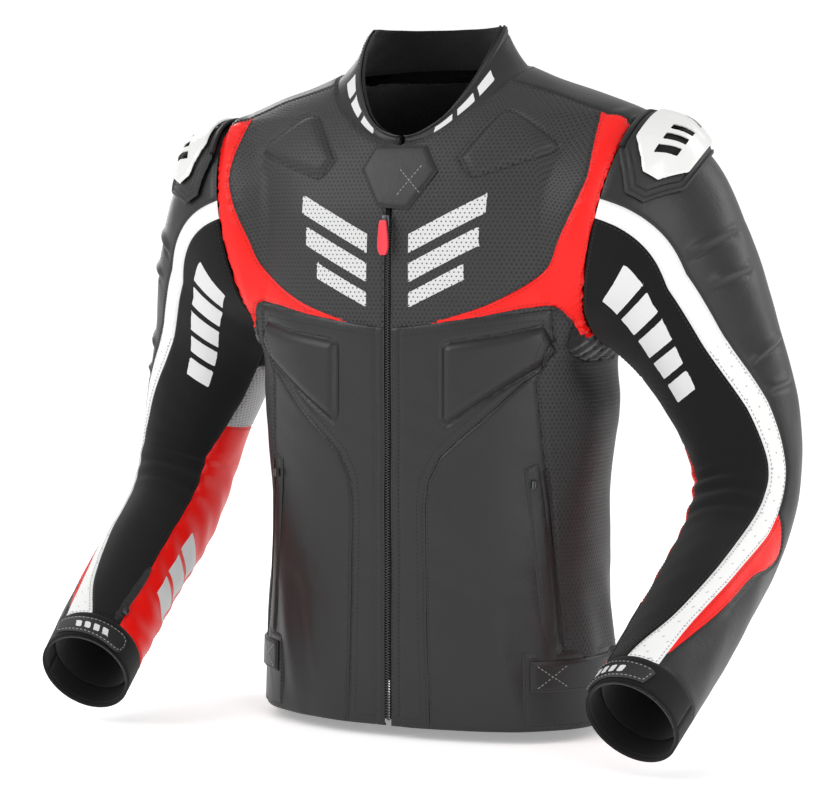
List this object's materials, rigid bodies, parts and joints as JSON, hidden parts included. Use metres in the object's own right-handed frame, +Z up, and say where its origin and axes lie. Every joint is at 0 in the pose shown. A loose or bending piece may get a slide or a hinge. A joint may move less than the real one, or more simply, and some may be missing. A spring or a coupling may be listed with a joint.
{
  "type": "motorcycle leather jacket",
  "caption": "Waist-length leather riding jacket with a stand-up collar, front zip, pre-bent sleeves, hard shoulder cups, perforated panels and body armour.",
  "frame": {"origin": "the point inside the back of the collar where the jacket hangs, on its centre line", "axes": "+Z up, -Y towards the front of the jacket, +X towards the wearer's left arm"},
  "size_m": [0.7234, 0.3653, 0.676],
  "materials": {
    "leather_black": "smooth grained cowhide",
    "leather_perforated": "perforated cowhide",
    "leather_red": "smooth dyed cowhide",
    "leather_white": "smooth dyed cowhide",
    "stretch_fabric": "matt woven stretch fabric",
    "neoprene": "matt foam rubber with a knit face",
    "lining": "open polyester mesh",
    "armour_foam": "moulded foam",
    "cup_white": "moulded thermoplastic",
    "rubber_black": "moulded ridges",
    "zip_metal": "black lacquered zinc",
    "pull_red": "soft moulded tab"
  },
  "bodies": {
    "torso": {"red_yoke_left": "leather_red", "shoulder_panel_left": "leather_black", "chest_panel_left": "leather_perforated", "front_panel_left": "leather_black", "side_panel_left": "leather_perforated", "body_lining_left": "lining", "zip_tape_left": "stretch_fabric", "red_yoke_right": "leather_red", "shoulder_panel_right": "leather_black", "chest_panel_right": "leather_perforated", "front_panel_right": "leather_black", "side_panel_right": "leather_perforated", "body_lining_right": "lining", "zip_tape_right": "stretch_fabric", "back_panel_upper": "leather_perforated", "back_stretch_panel": "stretch_fabric", "back_panel_lower": "leather_black", "back_protector": "armour_foam", "zip_garage_flap": "leather_black", "collar_shell": "leather_black", "collar_lining": "lining", "trouser_zip": "stretch_fabric"},
    "zip_slider": {"zip_slider": "zip_metal"},
    "zip_pull": {"zip_pull": "pull_red"},
    "waist_strap_left": {"waist_strap_left": "leather_black"},
    "pocket_slider_left": {"pocket_slider_left": "zip_metal"},
    "cuff_strap_left": {"cuff_strap_left": "rubber_black"},
    "wrist_slider_left": {"wrist_slider_left": "zip_metal"},
    "upper_sleeve_left": {"sleeve_outer_left": "leather_black", "sleeve_stripe_left": "leather_white", "sleeve_stretch_left": "stretch_fabric", "sleeve_lining_left": "lining", "shoulder_armour_left": "armour_foam", "cup_surround_left": "rubber_black", "shoulder_cup_left": "cup_white", "elbow_gusset_left": "stretch_fabric"},
    "forearm_left": {"forearm_outer_left": "leather_black", "forearm_stripe_left": "leather_white", "forearm_stretch_left": "stretch_fabric", "forearm_inner_left": "leather_red", "elbow_armour_left": "armour_foam", "cuff_left": "neoprene"},
    "waist_strap_right": {"waist_strap_right": "leather_black"},
    "pocket_slider_right": {"pocket_slider_right": "zip_metal"},
    "cuff_strap_right": {"cuff_strap_right": "rubber_black"},
    "wrist_slider_right": {"wrist_slider_right": "zip_metal"},
    "upper_sleeve_right": {"sleeve_outer_right": "leather_black", "sleeve_stripe_right": "leather_white", "sleeve_stretch_right": "stretch_fabric", "sleeve_lining_right": "lining", "shoulder_armour_right": "armour_foam", "cup_surround_right": "rubber_black", "shoulder_cup_right": "cup_white", "elbow_gusset_right": "stretch_fabric"},
    "forearm_right": {"forearm_outer_right": "leather_black", "forearm_stripe_right": "leather_white", "forearm_stretch_right": "stretch_fabric", "forearm_inner_right": "leather_red", "elbow_armour_right": "armour_foam", "cuff_right": "neoprene"}
  },
  "joints": [
    {"name": "front_zip", "type": "slide", "parent": "torso", "child": "zip_slider", "axis": [0, 0, -1], "range_m": [0, 0.455]},
    {"name": "front_zip_pull", "type": "hinge", "parent": "zip_slider", "child": "zip_pull", "pos_m": [0, -0.1708, -0.151], "axis": [-1, 0, 0], "range_deg": [0, 150]},
    {"name": "shoulder_left", "type": "hinge", "parent": "torso", "child": "upper_sleeve_left", "pos_m": [0.198, -0.045, -0.168], "axis": [-0.9781, 0, 0.2079], "range_deg": [-10, 35]},
    {"name": "elbow_left", "type": "hinge", "parent": "upper_sleeve_left", "child": "forearm_left", "pos_m": [0.3114, -0.0246, -0.4264], "axis": [-0.9523, 0.2113, -0.22], "range_deg": [-20, 35], "deforming": ["elbow_gusset_left"]},
    {"name": "cuff_strap_peel_left", "type": "hinge", "parent": "forearm_left", "child": "cuff_strap_left", "pos_m": [0.3094, -0.2671, -0.5503], "axis": [0.1245, 0.8208, 0.5575], "range_deg": [0, 100]},
    {"name": "waist_strap_peel_left", "type": "hinge", "parent": "torso", "child": "waist_strap_left", "pos_m": [0.1751, -0.0014, -0.587], "axis": [0, 0, 1], "range_deg": [0, 80]},
    {"name": "pocket_zip_left", "type": "slide", "parent": "torso", "child": "pocket_slider_left", "axis": [0.1267, 0.1059, -0.9863], "range_m": [0, 0.13]},
    {"name": "wrist_zip_left", "type": "slide", "parent": "forearm_left", "child": "wrist_slider_left", "axis": [0.0938, 0.8271, 0.5542], "range_m": [0, 0.075]},
    {"name": "shoulder_right", "type": "hinge", "parent": "torso", "child": "upper_sleeve_right", "pos_m": [-0.198, -0.045, -0.168], "axis": [-0.9781, 0, -0.2079], "range_deg": [-10, 35]},
    {"name": "elbow_right", "type": "hinge", "parent": "upper_sleeve_right", "child": "forearm_right", "pos_m": [-0.3114, -0.0246, -0.4264], "axis": [-0.9523, -0.2113, 0.22], "range_deg": [-20, 35], "deforming": ["elbow_gusset_right"]},
    {"name": "cuff_strap_peel_right", "type": "hinge", "parent": "forearm_right", "child": "cuff_strap_right", "pos_m": [-0.3094, -0.2671, -0.5503], "axis": [0.1245, -0.8208, -0.5575], "range_deg": [0, 100]},
    {"name": "waist_strap_peel_right", "type": "hinge", "parent": "torso", "child": "waist_strap_right", "pos_m": [-0.1751, -0.0014, -0.587], "axis": [0, 0, -1], "range_deg": [0, 80]},
    {"name": "pocket_zip_right", "type": "slide", "parent": "torso", "child": "pocket_slider_right", "axis": [-0.1267, 0.1059, -0.9863], "range_m": [0, 0.13]},
    {"name": "wrist_zip_right", "type": "slide", "parent": "forearm_right", "child": "wrist_slider_right", "axis": [-0.0938, 0.8271, 0.5542], "range_m": [0, 0.075]}
  ]
}
